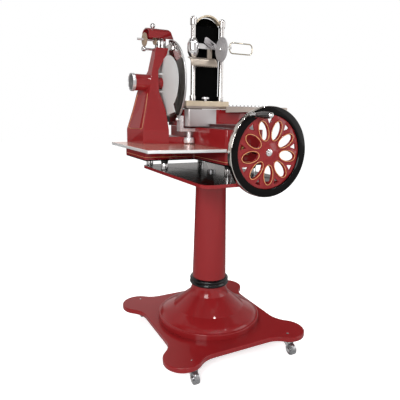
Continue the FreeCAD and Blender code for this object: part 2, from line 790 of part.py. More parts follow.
def oval(body, name, half_long, half_wide, level):
    """An ellipse pointing at the hub, straight below it."""
    sketch = body.newObject("Sketcher::SketchObject", name)
    sketch.AttachmentSupport = [(plane_of(body, "XY_Plane"), "")]
    sketch.MapMode = "FlatFace"
    bind(sketch, "AttachmentOffset.Base.z", level)
    middle = number("petal_middle")
    tall = number(half_long)
    wide = number(half_wide)
    sketch.addGeometry(Part.Ellipse(V(0, tall - middle, 0), V(wide, -middle, 0), V(0, -middle, 0)), False)
    sketch.addConstraint(Sketcher.Constraint("Block", 0))
    return sketch


def pocket(body, sketch, length):
    feature = body.newObject("PartDesign::Pocket", sketch.Name + "_pocket")
    feature.Profile = sketch
    bind(feature, "Length", length)
    return feature


def spread(body, name, features):
    pattern = body.newObject("PartDesign::PolarPattern", name)
    pattern.Originals = features
    pattern.Axis = (plane_of(body, "Z_Axis"), [""])
    pattern.Angle = 360
    pattern.Occurrences = int(number("petal_count"))
    body.Tip = pattern
    return pattern


def bevel(name, teeth, radius, wide, bore):
    """A mitre gear with its apex at the origin, opening towards +Z below it."""
    pitch = 2 * math.pi / teeth
    far = radius
    near = radius - wide

    def ring_at(size, grow, half):
        corners = []
        for side, lift in ((-1, -1), (1, -1), (0.55, 1), (-0.55, 1)):
            angle = side * half
            reach = size + lift * grow
            drop = -size + lift * grow
            corners.append(V(reach * math.cos(angle), reach * math.sin(angle), drop))
        return Part.makePolygon(corners + [corners[0]])
    tooth = Part.makeLoft([ring_at(far, 0.07 * far, 0.21 * pitch),
                           ring_at(near, 0.07 * near, 0.21 * pitch)], True)
    blank = Part.makeCone(far * 0.93, near * 0.93, far * 1.07 - near * 1.07, V(0, 0, -far * 1.07))
    teeth_round = []
    for i in range(teeth):
        turned_tooth = tooth.copy()
        turned_tooth.rotate(V(0, 0, 0), V(0, 0, 1), math.degrees(i * pitch))
        teeth_round.append(turned_tooth)
    gear = blank.fuse(teeth_round)
    gear = gear.cut(Part.makeCylinder(bore, 4 * radius, V(0, 0, -2 * radius)))
    thing = doc.addObject("Part::Feature", name)
    thing.Shape = gear
    return thing


def drive_train():
    size = number("bevel_radius")
    wide = number("bevel_wide")
    first = bevel("drive_bevel_solid", 16, size, wide, number("drive_radius"))
    first.Placement = FreeCAD.Placement(V(number("wheel_x"), number("blade_y"), number("wheel_z")), TURN["y"])
    node(first, "drive_bevel")
    second = bevel("cross_bevel_solid", 16, size, wide, number("cross_radius"))
    half_tooth = FreeCAD.Rotation(V(1, 0, 0), 180 / 16)
    second.Placement = FreeCAD.Placement(V(number("wheel_x"), number("blade_y"), number("wheel_z")),
                                         half_tooth.multiply(TURN["x"]))
    node(second, "cross_bevel")
    shaft = rod("cross_shaft_rod", "cross_radius", "wheel_x - 12 - chain_x + 6",
                ("chain_x - 6", "blade_y", "wheel_z"), "x")
    node(fuse("cross_shaft_parts", [shaft, sprocket("cross_sprocket", "wheel_z")]), "cross_shaft")
    low = "chain_x - 0.5*sprocket_thick"
    outer = [rod("chain_outer_%d" % i, "sprocket_radius + 0.5 + chain_thick", "sprocket_thick",
                 (low, "blade_y", z), "x") for i, z in enumerate(("wheel_z", "blade_z"))]
    inner = [rod("chain_inner_%d" % i, "sprocket_radius + 0.5", "sprocket_thick",
                 (low, "blade_y", z), "x") for i, z in enumerate(("wheel_z", "blade_z"))]
    wide_run = box("chain_wide", ("sprocket_thick", "2*(sprocket_radius + 0.5 + chain_thick)",
                                  "blade_z - wheel_z"),
                   (low, "blade_y - sprocket_radius - 0.5 - chain_thick", "wheel_z"))
    slim_run = box("chain_slim", ("sprocket_thick", "2*(sprocket_radius + 0.5)", "blade_z - wheel_z"),
                   (low, "blade_y - sprocket_radius - 0.5", "wheel_z"))
    node(cut("chain_cut", fuse("chain_blank", outer + [wide_run]), inner + [slim_run]), "drive_chain")


def carriage():
    way = padded("way_body", "XZ_Plane", [
        ("way_left", "base_top"),
        ("way_right", "base_top"),
        ("way_right", "base_top + 6"),
        ("way_right + 8", "base_top + way_height"),
        ("way_left - 8", "base_top + way_height"),
        ("way_left", "base_top + 6"),
    ], "base_back - base_front - 24", offset="-base_back + 12")
    node(way, "slide_way")
    block = box("carriage_block", ("carriage_right - carriage_left", "carriage_back - carriage_front",
                                   "carriage_top - carriage_low"),
                ("carriage_left", "carriage_front", "carriage_low"))
    soft = rounded("carriage_soft", block, "7", upright)
    groove = padded("carriage_groove", "XZ_Plane", [
        ("way_left - 0.2", "base_top"),
        ("way_right + 0.2", "base_top"),
        ("way_right + 0.2", "base_top + 6"),
        ("way_right + 8.3", "base_top + way_height + 0.2"),
        ("way_left - 8.3", "base_top + way_height + 0.2"),
        ("way_left - 0.2", "base_top + 6"),
    ], "900", offset="-400")
    notch = box("carriage_notch", ("cover_right - carriage_left + 1", "46", "carriage_top - carriage_low + 4"),
                ("carriage_left - 1", "carriage_front - 1", "carriage_low - 2"))
    screw_tunnel = box("carriage_tunnel", ("carriage_right - carriage_left + 2", "2*screw_radius + 12",
                                           "2*screw_radius + 12"),
                       ("carriage_left - 1", "screw_y - screw_radius - 6", "screw_z - screw_radius - 6"))
    node(cut("carriage_cut", soft, [groove, notch, screw_tunnel]), "carriage")
    cover = box("cover_block", ("cover_right - carriage_left", "44.5", "carriage_top - carriage_low - 1"),
                ("carriage_left", "carriage_front", "carriage_low + 1"))
    cover_soft = rounded("cover_soft", cover, "5",
                         lambda e: upright(e) and e.Vertexes[0].Y < number("carriage_front") + 1
                         and e.Vertexes[0].X < number("carriage_left") + 1)
    node(cut("cover_cut", cover_soft, [groove]), "carriage_cover")


def meat_table():
    low = "table_low"
    plate = padded("table_body", "XY_Plane", [
        ("table_left", "bar_front"),
        ("table_apron", "bar_front"),
        ("table_apron", "table_front"),
        ("table_right", "table_front"),
        ("table_right", "table_back"),
        ("table_left", "table_back"),
    ], "table_thick", offset=low)
    apron = padded("apron_body", "XZ_Plane", [
        ("table_apron", low),
        ("table_apron", low + " - 16"),
        ("table_right", low + " - 6"),
        ("table_right", low),
    ], "5", offset="-table_front - 5")
    keel = box("table_keel", ("60", "70", "table_low - carriage_top - 0.2"),
               ("carriage_left + 40", "carriage_front + 60", "carriage_top + 0.2"))
    lug = box("table_lug", ("16", "screw_radius*2 + 14", "table_low - screw_z + screw_radius + 6"),
              ("table_right - 40", "screw_y - screw_radius - 7", "screw_z - screw_radius - 6"))
    deck = box("table_deck", ("table_right - bar_right - 8", "bar_front + 12 - table_front", "1"),
               ("bar_right + 4", "table_front + 3", "table_low + table_thick"))
    lug_hole = rod("lug_hole", "screw_radius + running_gap", "16", ("table_right - 40", "screw_y", "screw_z"), "x")
    node(cut("table_cut", fuse("table_blank", [plate, apron, keel, lug, deck]), [lug_hole]), "meat_table")
    screw = rod("screw_rod", "screw_radius", "table_right + 24 - carriage_left - 30",
                ("carriage_left + 30", "screw_y", "screw_z"), "x")
    knob = turned("screw_knob", [
        ("0", "0"), ("15", "0"), ("18", "3"), ("18", "12"), ("14", "17"), ("0", "17"),
    ], ("table_right + 12", "screw_y", "screw_z"), "x")
    node(fuse("screw_parts", [screw, knob]), "feed_screw")

    bar_low = "table_low + table_thick"
    bar = box("bar_block", ("bar_right - table_left", "bar_deep", "bar_height"),
              ("table_left", "bar_front", bar_low))
    node(rounded("bar_soft", bar, "3", lambda e: abs(e.Vertexes[0].Z - e.Vertexes[-1].Z) < 0.01
                 and e.Vertexes[0].Z > number(bar_low) + 1), "post_bar")
    tooth_row = []
    for i in range(12):
        tooth = "bar_right + 14 + 22*%d" % i
        tooth_row.append(padded("rail_tooth_%d" % i, "XZ_Plane", [
            (tooth + " - 4", bar_low + " + 3.5"), (tooth + " + 4", bar_low + " + 3.5"),
            (tooth + " + 0.6", bar_low + " + 10"), (tooth + " - 0.6", bar_low + " + 10"),
        ], "5", offset="-bar_front - 24.5"))
    rail = box("tooth_rail", ("table_right - bar_right - 24", "10", "4"),
               ("bar_right + 6", "bar_front + 17", bar_low))
    node(fuse("rail_parts", tooth_row + [rail]), "spike_rail")

    post_low = bar_low + " + bar_height"
    posts = []
    for side in ("left", "right"):
        x = "post_" + side
        posts.append(fuse("post_full_" + side, [
            rod("post_rod_" + side, "post_radius", "post_top - 34 - (%s)" % post_low,
                (x, "post_y", post_low)),
            rod("post_collar_" + side, "post_radius + 3.5", "23", (x, "post_y", post_low)),
            turned("post_cap_" + side, [
                ("0", "0"), ("post_radius + 4", "0"), ("post_radius + 4.5", "26"),
                ("post_radius - 1", "34"), ("3", "37.5"), ("0", "37.5"),
            ], (x, "post_y", "post_top - 34"))]))
    node(group("post_pair", posts), "posts")

    arch = padded("arch_body", "XZ_Plane", [
        ("post_left + post_radius + 4.6", "post_top - 26"),
        ("post_left + post_radius + 4.6", "post_top - 18", "0.5*(post_left + post_right)", "arch_top"),
        ("post_right - post_radius - 4.6", "post_top - 18"),
        ("post_right - post_radius - 4.6", "post_top - 26", "0.5*(post_left + post_right)", "arch_top - 8"),
    ], "26", offset="-post_y - 16")
    node(arch, "post_arch")
    back = padded("back_body", "XZ_Plane", [
        ("post_left + 7", "post_top - 34", "0.5*(post_left + post_right)", "arch_top - 11"),
        ("post_right - 7", "post_top - 34"),
        ("post_right - 7", post_low),
        ("post_left + 7", post_low),
    ], "3", offset="-post_y - 19")
    node(back, "back_panel")
    wing = fuse("wing_parts", [
        rod("wing_stem", "6", "12", ("wing_x", "bar_front + 9", post_low)),
        rod("wing_disc", "17", "8", ("wing_x", "bar_front + 9", post_low + " + 9"))])
    stem_gap = "0.3"
    wing.Placement.Base = V(0, 0, float(stem_gap))
    node(wing, "wing_knob")


def press():
    """Clamp that rides up and down the two posts, with its toothed bar and lever."""
    z = "clamp_z"
    sleeves = []
    for side in ("left", "right"):
        x = "post_" + side
        sleeves.append(turned("sleeve_" + side, [
            ("post_radius + running_gap", "0"),
            ("17", "0"),
            ("26", "20", "27.5", "40"),
            ("26", "60"),
            ("17", "80"),
            ("post_radius + running_gap", "80"),
        ], (x, "post_y", z + " - 40")))
    flat = box("sleeve_flat", ("300", "40", "120"), ("post_left - 60", "post_y + 14", z + " - 60"))
    bracket = box("disc_arm", ("8", "post_y - 24 - disc_y + 12", "14"),
                  ("disc_x + 10.4", "disc_y - 9", "disc_z - 4"))
    spindle = rod("disc_spindle", "6", "14", ("disc_x - 2", "disc_y", "disc_z"), "x")
    eye = box("loop_eye", ("loop_x + loop_wire + 4 - disc_x - 12.4", "14", "10"),
              ("disc_x + 12.4", "disc_y - 7", "disc_z + 6"))
    eye_hole = rod("loop_eye_hole", "loop_wire + running_gap", "14", ("loop_x", "disc_y", "disc_z + 4"))
    lever_pin = rod("lever_pin", "5", "11", ("lever_x", "post_y - 32", "lever_z"), "y")
    beam = box("clamp_beam", ("post_right - post_left - 30", "12", "22"),
               ("post_left + 15", "post_y - 24", z + " - 4"))
    node(cut("clamp_cut", fuse("clamp_blank", sleeves + [beam, bracket, spindle, eye, lever_pin]), [flat, eye_hole]), "clamp_body")
    web = box("jaw_web", ("24", "6", "44"), ("post_left + 62", "post_y - 20.5", z + " - 48"))
    lip = padded("jaw_body", "YZ_Plane", [
        ("post_y - 14.5", z + " - 42", "post_y - 42", z + " - 53"),
        ("post_y - 54", z + " - 80"),
        ("post_y - 50", z + " - 80", "post_y - 39", z + " - 56"),
        ("post_y - 14.5", z + " - 46"),
    ], "132", offset="post_left - 34")
    spikes = []
    for i in range(14):
        point = "post_left - 30 + 9.4*%d" % i
        spikes.append(padded("jaw_spike_%d" % i, "XZ_Plane", [
            (point + " - 3.5", z + " - 79"), (point + " - 0.5", z + " - 86"),
            (point + " + 0.5", z + " - 86"), (point + " + 3.5", z + " - 79"),
        ], "3", offset="-post_y + 50.5"))
    node(fuse("jaw_parts", [web, lip] + spikes), "press_bar")
    disc = turned("disc_body", [
        ("6 + running_gap", "0"), ("disc_radius - 4", "0"), ("disc_radius", "3"), ("disc_radius", "6"),
        ("14", "6"), ("14", "10"), ("6 + running_gap", "10"),
    ], ("disc_x", "disc_y", "disc_z"), "x")
    node(disc, "clamp_disc")
    lever = padded("lever_body", "XZ_Plane", [
        ("lever_x + 9", "lever_z - 14", "lever_x + 17.5", "lever_z"),
        ("lever_x + 11", "lever_z + 13"),
        ("lever_x - 34", "lever_z + 39"),
        ("lever_x - 43", "lever_z + 35"),
        ("lever_x - 46", "lever_z + 14"),
        ("lever_x - 10", "lever_z - 11"),
    ], "3.6", offset="-post_y + 28")
    lever_hole = rod("lever_hole", "5 + running_gap", "7", ("lever_x", "post_y - 33", "lever_z"), "y")
    node(cut("lever_cut", lever, [lever_hole]), "clamp_lever")
    node(wire_loop(), "wire_loop")


def wire_loop():
    """A closed wire handle: four straight runs and four quarter bends."""
    left, right, low, high = "loop_x", "loop_x + loop_long", "disc_z - 12", "disc_z + 34"
    bend = "loop_bend"
    runs = [
        rod("loop_left", "loop_wire", "46 - 2*loop_bend", (left, "disc_y", low + " + " + bend)),
        rod("loop_right", "loop_wire", "46 - 2*loop_bend", (right, "disc_y", low + " + " + bend)),
        rod("loop_low", "loop_wire", "loop_long - 2*loop_bend", (left + " + " + bend, "disc_y", low), "x"),
        rod("loop_high", "loop_wire", "loop_long - 2*loop_bend", (left + " + " + bend, "disc_y", high), "x"),
    ]
    for i, (x, z) in enumerate(((right + " - " + bend, high + " - " + bend),
                                (left + " + " + bend, high + " - " + bend),
                                (left + " + " + bend, low + " + " + bend),
                                (right + " - " + bend, low + " + " + bend))):
        quarter = ring("loop_bend_%d" % i, bend, "loop_wire", (x, "disc_y", z))
        quarter.Angle3 = 90
        quarter.Placement.Rotation = FreeCAD.Rotation(V(0, 1, 0), -90 * i).multiply(
            FreeCAD.Rotation(V(1, 0, 0), 90))
        runs.append(quarter)
    return fuse("loop_parts", runs)


def thickness_dial():
    x = "blade_x + 44"
    y = "blade_y - 0.66*guard_radius - 3"
    low = "wing_top + tray_thick + 4"
    knob = turned("dial_knob", [
        ("6 + running_gap", "0"), ("24", "0"), ("25", "2"), ("25", "20"), ("22", "26"),
        ("11", "28"), ("10", "53"), ("6 + running_gap", "53"),
    ], (x, y, low))
    node(knob, "thickness_dial")


def sharpener():
    """Grinding head on top of the tower."""
    mid = "sharp_y"
    arm = fuse("arm_parts", [
        box("arm_block", ("44", "30", "sharp_z - tower_top + 22"), ("sharp_x + 52", mid + " - 10", "tower_top")),
        rod("arm_rod_left", "5", "sharp_z - tower_top + 6", ("sharp_x + 58", mid + " - 18", "tower_top")),
        rod("arm_rod_right", "5", "sharp_z - tower_top + 6", ("sharp_x + 74", mid + " - 18", "tower_top")),
        rod("arm_spindle", "5", "sharp_x + 53 - (sharp_x - 42)", ("sharp_x - 42", mid, "sharp_z"), "x"),
        rod("arm_spindle_low", "5", "60", ("sharp_x - 6", mid, "sharp_z - 42"), "x"),
        turned("arm_knob", [("0", "0"), ("9", "0"), ("11", "2"), ("11", "14"), ("8", "17"), ("0", "17")],
               ("sharp_x - 20", mid, "sharp_z - 42"), "x"),
    ])
    node(cut("arm_cut", arm, [TOWER[0]]), "sharpener_arm")
    roof = padded("roof_body", "YZ_Plane", [
        (mid + " - 46", "sharp_z + 4"),
        (mid + " - 46", "sharp_z + 34", mid, "sharp_z + 52"),
        (mid + " + 46", "sharp_z + 34"),
        (mid + " + 46", "sharp_z + 8"),
        (mid + " + 42", "sharp_z + 8"),
        (mid + " + 42", "sharp_z + 32", mid, "sharp_z + 48"),
        (mid + " - 42", "sharp_z + 32"),
        (mid + " - 42", "sharp_z + 4"),
    ], "sharp_long", offset="sharp_x - 2")
    nose = padded("roof_nose", "XZ_Plane", [
        ("sharp_x + sharp_long - 30", "sharp_z + 70"),
        ("sharp_x + sharp_long + 20", "sharp_z + 70"),
        ("sharp_x + sharp_long + 20", "sharp_z"),
        ("sharp_x + sharp_long", "sharp_z"),
    ], "140", offset="-sharp_y - 70")
    knob = turned("roof_knob", [
        ("0", "-11.5"), ("3.4", "-11.5", "12", "0"), ("3.4", "11.5"), ("0", "11.5"),
    ], ("sharp_x + 26", mid + " - 20", "sharp_z + 59"))
    stem = rod("roof_stem", "4", "20", ("sharp_x + 26", mid + " - 20", "sharp_z + 42"))
    seat_pad = box("roof_seat", ("30", "24", "sharp_gap"), ("sharp_x + 60", mid + " - 8", "sharp_z + 22"))
    node(fuse("roof_parts", [cut("roof_cut", roof, [nose]), knob, stem, seat_pad]), "sharpener_cover")
    for label, x, y, z, radius in (("grinding_wheel", "sharp_x - 12", mid, "sharp_z", "30"),
                                   ("honing_wheel", "sharp_x + 40", mid, "sharp_z", "20")):
        stone = turned(label + "_body", [
            ("5 + running_gap", "0"), (radius + " - 1", "0"), (radius, "1"), (radius, "8"),
            (radius + " - 1", "9"), ("5 + running_gap", "9"),
        ], (x, y, z), "x")
        node(stone, label)


def save():
    doc.recompute()
    bad = [o.Name for o in doc.Objects if "Invalid" in o.State or "Error" in o.State]
    if bad:
        sys.exit("failed objects: " + ", ".join(bad))
    shift = FreeCAD.Placement(LAYOUT_SHIFT, FreeCAD.Rotation())
    os.makedirs("parts", exist_ok=True)
    for thing in NODES:
        shape = thing.Shape.copy()
        if shape.isNull() or not shape.isValid():
            sys.exit("bad shape: " + thing.Label)
        shape.Placement = shift.multiply(shape.Placement)
        shape.exportStep("parts/%s.step" % thing.Label)


MIDDLE_X = 0.5 * number("tray_left - 4 + table_right + 29")
MIDDLE_Y = 0.5 * number("wheel_front - ferrule_length - grip_length - 7 + blade_y + blade_radius")
LAYOUT_SHIFT = V(-MIDDLE_X, -MIDDLE_Y, 0)
pedestal()
for corner in range(len(CORNERS)):
    caster(corner)
machine_feet()
machine_base()
slice_tray()
tower()
bushes()
blade_unit()
blade_guard()
slice_shield()
flywheel()
drive_train()
carriage()
meat_table()
press()
thickness_dial()
sharpener()
save()
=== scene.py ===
import bpy
import bmesh
import json
import math
from mathutils import Matrix, Vector
from mathutils.bvhtree import BVHTree


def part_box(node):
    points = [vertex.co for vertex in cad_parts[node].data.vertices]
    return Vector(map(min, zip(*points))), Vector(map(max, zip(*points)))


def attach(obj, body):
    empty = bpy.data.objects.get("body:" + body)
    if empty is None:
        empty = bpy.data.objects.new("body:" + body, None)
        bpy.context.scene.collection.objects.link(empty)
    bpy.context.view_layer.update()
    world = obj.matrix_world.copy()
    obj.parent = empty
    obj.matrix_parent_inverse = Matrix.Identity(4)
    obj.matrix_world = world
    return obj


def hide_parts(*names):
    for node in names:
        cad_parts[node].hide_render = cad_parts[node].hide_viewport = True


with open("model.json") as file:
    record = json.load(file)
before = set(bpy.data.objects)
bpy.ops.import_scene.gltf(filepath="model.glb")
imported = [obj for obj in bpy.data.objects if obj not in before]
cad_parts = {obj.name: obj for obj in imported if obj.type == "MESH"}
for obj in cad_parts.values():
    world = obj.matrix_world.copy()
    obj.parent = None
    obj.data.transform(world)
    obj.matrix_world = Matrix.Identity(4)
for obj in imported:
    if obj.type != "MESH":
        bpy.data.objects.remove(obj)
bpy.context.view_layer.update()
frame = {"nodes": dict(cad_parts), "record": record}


# Viewpoint and studio.
# The slicer is seen from the front left, a little above the crank wheel, on a pale floor
# that runs out of sight under soft lamps. Polished steel mirrors a room of light and dark.
column_low, column_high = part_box("column")
stand_axis = Vector(((column_low.x + column_high.x) / 2, (column_low.y + column_high.y) / 2, 0))


def spot(x, y, z):
    """A place given in millimetres from the foot of the column's axis."""
    return stand_axis + Vector((x, y, z)) / 1000


def put_in_scene(name, data):
    """A new object of this name that holds the mesh, curve, lamp or camera."""
    made = bpy.data.objects.new(name, data)
    bpy.context.scene.collection.objects.link(made)
    return made


turn_right = math.radians(27.32)
look_down = math.radians(11.79)
tilt = math.radians(0.92)
eye = spot(-931.06, -1692.57, 1079.65)
film_width = 36
picture_pixels = 400
focal_pixels = 416.3
ahead = Vector((math.sin(turn_right) * math.cos(look_down),
                math.cos(turn_right) * math.cos(look_down), -math.sin(look_down)))
across = Vector((math.cos(turn_right), -math.sin(turn_right), 0))
above = across.cross(ahead)
camera_right = across * math.cos(tilt) + above * math.sin(tilt)
camera_up = above * math.cos(tilt) - across * math.sin(tilt)
camera = put_in_scene("photo_camera", bpy.data.cameras.new("photo_camera"))
camera.data.lens = film_width * focal_pixels / picture_pixels
camera.data.clip_end = 50
camera.matrix_world = Matrix.Translation(eye) @ Matrix(
    (camera_right, camera_up, -ahead)).transposed().to_4x4()
bpy.context.scene.camera = camera
bpy.context.scene.view_settings.view_transform = "Standard"

studio = bpy.data.worlds.new("studio")
bpy.context.scene.world = studio
studio.use_nodes = True
sky = studio.node_tree.nodes
sky_link = studio.node_tree.links.new
sky.clear()


def ramp(stops):
    """A colour ramp in the studio's tree through stops of (place, colour)."""
    made = sky.new("ShaderNodeValToRGB")
    for place, colour in stops:
        made.color_ramp.elements.new(place).color = (*colour, 1)
    made.color_ramp.elements.remove(made.color_ramp.elements[-1])
    return made


def background(level):
    """An even white surround of this strength."""
    made = sky.new("ShaderNodeBackground")
    made.inputs["Color"].default_value = (1, 1, 1, 1)
    made.inputs["Strength"].default_value = level
    return made


rays = sky.new("ShaderNodeLightPath")
direction = sky.new("ShaderNodeTexCoord")
stretched = sky.new("ShaderNodeMapping")
stretched.inputs["Scale"].default_value = (1.3, 1.3, 0.75)
stretched.inputs["Location"].default_value = (0.35, 0.1, 0.2)
sky_link(direction.outputs["Generated"], stretched.inputs["Vector"])
clutter = sky.new("ShaderNodeTexNoise")
clutter.inputs["Scale"].default_value = 1.5
clutter.inputs["Detail"].default_value = 2.5
clutter.inputs["Roughness"].default_value = 0.45
sky_link(stretched.outputs[0], clutter.inputs["Vector"])
room = ramp([(0.0, (0.02, 0.018, 0.018)), (0.36, (0.05, 0.042, 0.04)), (0.42, (0.28, 0.23, 0.21)),
             (0.47, (0.70, 0.65, 0.62)), (0.53, (0.97, 0.95, 0.94)), (0.70, (1.0, 1.0, 1.0))])
sky_link(clutter.outputs["Fac"], room.inputs[0])
band = ramp([(share, (level, level, level)) for share, level in (
    (0.0, 0.66), (0.44, 0.95), (0.52, 0.95), (0.66, 0.8), (0.85, 0.5), (1.0, 0.8))])
split = sky.new("ShaderNodeSeparateXYZ")
upward = sky.new("ShaderNodeMath")
upward.operation = "MULTIPLY_ADD"
upward.inputs[1].default_value = 0.5
upward.inputs[2].default_value = 0.5
sky_link(direction.outputs["Generated"], split.inputs[0])
sky_link(split.outputs["Z"], upward.inputs[0])
sky_link(upward.outputs[0], band.inputs[0])
seen_room = sky.new("ShaderNodeMix")
seen_room.data_type = "RGBA"
seen_room.blend_type = "MULTIPLY"
seen_room.inputs["Factor"].default_value = 1.0
sky_link(room.outputs["Color"], seen_room.inputs["A"])
sky_link(band.outputs["Color"], seen_room.inputs["B"])
pale = background(1.0)
soft = background(0.5)
mirrored = background(1.0)
sky_link(seen_room.outputs["Result"], mirrored.inputs["Color"])
shiny_or_clear = sky.new("ShaderNodeMath")
shiny_or_clear.operation = "MAXIMUM"
sky_link(rays.outputs["Is Glossy Ray"], shiny_or_clear.inputs[0])
sky_link(rays.outputs["Is Transmission Ray"], shiny_or_clear.inputs[1])
by_gloss = sky.new("ShaderNodeMixShader")
sky_link(shiny_or_clear.outputs[0], by_gloss.inputs[0])
sky_link(soft.outputs[0], by_gloss.inputs[1])
sky_link(mirrored.outputs[0], by_gloss.inputs[2])
by_camera = sky.new("ShaderNodeMixShader")
sky_link(rays.outputs["Is Camera Ray"], by_camera.inputs[0])
sky_link(by_gloss.outputs[0], by_camera.inputs[1])
sky_link(pale.outputs[0], by_camera.inputs[2])
sky_out = sky.new("ShaderNodeOutputWorld")
sky_link(by_camera.outputs[0], sky_out.inputs["Surface"])

# Each lamp: place and aim in millimetres, side in metres, power in watts. The ceiling lamps
# are there only as small bright spots in the steel.
lamps = [("key_lamp", (-2300, -2500, 2000), (0, 0, 800), 1.4, 80),
         ("fill_lamp", (2600, -1900, 1700), (0, 0, 800), 1.8, 22),
         ("back_lamp", (600, 2600, 2700), (0, 0, 900), 1.6, 50)]
for i in range(12):
    row, along = divmod(i, 4)
    place = (-1700 + 900 * along, -2500 + 1150 * row + 260 * (i % 2), 3100)
    lamps.append(("ceiling_lamp_%d" % i, place, (0, 0, 700), 0.09, 6))
for lamp_name, place, aim, side, power in lamps:
    lamp = put_in_scene(lamp_name, bpy.data.lights.new(lamp_name, "AREA"))
    lamp.data.size = side
    lamp.data.energy = power
    lamp.location = spot(*place)
    lamp.rotation_euler = (spot(*aim) - lamp.location).to_track_quat("-Z", "Y").to_euler()
    lamp.visible_glossy = lamp_name != "back_lamp"
    lamp.visible_diffuse = not lamp_name.startswith("ceiling_lamp")

# The floor is lifted to white where the camera sees it, and where polished pieces mirror it,
# it fades from the near end to the far one.
floor_reach = 14
camera_lift = 0.66
near_end, far_end = -2.2, 2.0
near_level, far_level = 0.95, 0.05
floor_mesh = bpy.data.meshes.new("floor")
floor_mesh.from_pydata([(floor_reach * x, floor_reach * y, 0) for x, y in (
    (-1, -1), (1, -1), (1, 1), (-1, 1))], [], [(0, 1, 2, 3)])
floor = put_in_scene("floor", floor_mesh)
floor_paint = bpy.data.materials.new("pale_floor")
floor_paint.use_nodes = True
floor_parts = floor_paint.node_tree.nodes
floor_link = floor_paint.node_tree.links.new
shade = floor_parts["Principled BSDF"]
shade.inputs["Base Color"].default_value = (0.86, 0.86, 0.86, 1)
shade.inputs["Roughness"].default_value = 0.9
shade.inputs["Specular IOR Level"].default_value = 0.0
shade.inputs["Emission Color"].default_value = (1, 1, 1, 1)
floor_rays = floor_parts.new("ShaderNodeLightPath")
lift = floor_parts.new("ShaderNodeMath")
lift.operation = "MULTIPLY"
lift.inputs[1].default_value = camera_lift
floor_link(floor_rays.outputs["Is Camera Ray"], lift.inputs[0])
floor_link(lift.outputs[0], shade.inputs["Emission Strength"])
floor_place = floor_parts.new("ShaderNodeTexCoord")
depth = floor_parts.new("ShaderNodeVectorMath")
depth.operation = "DOT_PRODUCT"
depth.inputs[1].default_value = (math.sin(turn_right), math.cos(turn_right), 0)
floor_link(floor_place.outputs["Object"], depth.inputs[0])
fading = floor_parts.new("ShaderNodeMapRange")
fading.inputs["From Min"].default_value = near_end
fading.inputs["From Max"].default_value = far_end
fading.inputs["To Min"].default_value = near_level
fading.inputs["To Max"].default_value = far_level
floor_link(depth.outputs["Value"], fading.inputs["Value"])
mirrored_floor = floor_parts.new("ShaderNodeEmission")
floor_link(fading.outputs["Result"], mirrored_floor.inputs["Strength"])
by_gloss_ray = floor_parts.new("ShaderNodeMixShader")
floor_link(floor_rays.outputs["Is Glossy Ray"], by_gloss_ray.inputs[0])
floor_link(shade.outputs[0], by_gloss_ray.inputs[1])
floor_link(mirrored_floor.outputs[0], by_gloss_ray.inputs[2])
floor_link(by_gloss_ray.outputs[0], floor_parts["Material Output"].inputs["Surface"])
floor_mesh.materials.append(floor_paint)


# Foot plate of the stand.
# A heavy plate with four round ears, cut from steel, its edge rounded over, and sprayed with
# several coats of deep red enamel that was polished after it dried.
nodes = frame["nodes"]
body_by_node = {node: body for body, members in frame["record"]["behaviour"]["bodies"].items()
                for node in members}
weld_distance = 0.00002


def finish(name, color, metallic=0.0, roughness=0.3, coat=0.0, grain=0.0, grain_size=60,
           ripple=0.0, ripple_size=90, stretch=(1, 1, 1), shift=0.08, specular=0.5):
    """A surface finish whose colour, gloss and relief vary as the real one's do."""
    made = bpy.data.materials.new(name)
    made.use_nodes = True
    tree = made.node_tree
    surface = tree.nodes["Principled BSDF"]
    surface.inputs["Metallic"].default_value = metallic
    surface.inputs["Specular IOR Level"].default_value = specular
    surface.inputs["Coat Weight"].default_value = coat
    surface.inputs["Coat Roughness"].default_value = 0.03
    place = tree.nodes.new("ShaderNodeTexCoord")
    along = tree.nodes.new("ShaderNodeMapping")
    along.inputs["Scale"].default_value = stretch
    tree.links.new(place.outputs["Object"], along.inputs["Vector"])
    cloud = tree.nodes.new("ShaderNodeTexNoise")
    cloud.inputs["Scale"].default_value = grain_size
    cloud.inputs["Detail"].default_value = 6
    tree.links.new(along.outputs[0], cloud.inputs["Vector"])
    tint = tree.nodes.new("ShaderNodeMix")
    tint.data_type = "RGBA"
    tint.inputs["A"].default_value = (*[c * (1 - shift) for c in color], 1)
    tint.inputs["B"].default_value = (*[min(1, c * (1 + shift)) for c in color], 1)
    tree.links.new(cloud.outputs["Fac"], tint.inputs["Factor"])
    tree.links.new(tint.outputs["Result"], surface.inputs["Base Color"])
    gloss = tree.nodes.new("ShaderNodeMapRange")
    gloss.inputs["To Min"].default_value = max(0.02, roughness - grain)
    gloss.inputs["To Max"].default_value = roughness + grain
    tree.links.new(cloud.outputs["Fac"], gloss.inputs["Value"])
    tree.links.new(gloss.outputs["Result"], surface.inputs["Roughness"])
    if ripple:
        waves = tree.nodes.new("ShaderNodeTexNoise")
        waves.inputs["Scale"].default_value = ripple_size
        waves.inputs["Detail"].default_value = 2
        tree.links.new(along.outputs[0], waves.inputs["Vector"])
        relief = tree.nodes.new("ShaderNodeBump")
        relief.inputs["Strength"].default_value = ripple
        relief.inputs["Distance"].default_value = 0.001
        tree.links.new(waves.outputs["Fac"], relief.inputs["Height"])
        tree.links.new(relief.outputs["Normal"], surface.inputs["Normal"])
        tree.links.new(relief.outputs["Normal"], surface.inputs["Coat Normal"])
    return made


def settle(piece, node):
    """Hand the finished piece to the body of the node that it stands for."""
    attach(piece, body_by_node[node])


def welded(node):
    """A copy of the node's shape with its loose triangles joined at their corners."""
    shape = bmesh.new()
    shape.from_mesh(nodes[node].data)
    bmesh.ops.remove_doubles(shape, verts=shape.verts, dist=weld_distance)
    return shape


def plain_mesh(piece):
    """The piece's shape as one mesh, with its modifiers or its curve worked in."""
    return bpy.data.meshes.new_from_object(
        piece.evaluated_get(bpy.context.evaluated_depsgraph_get()))


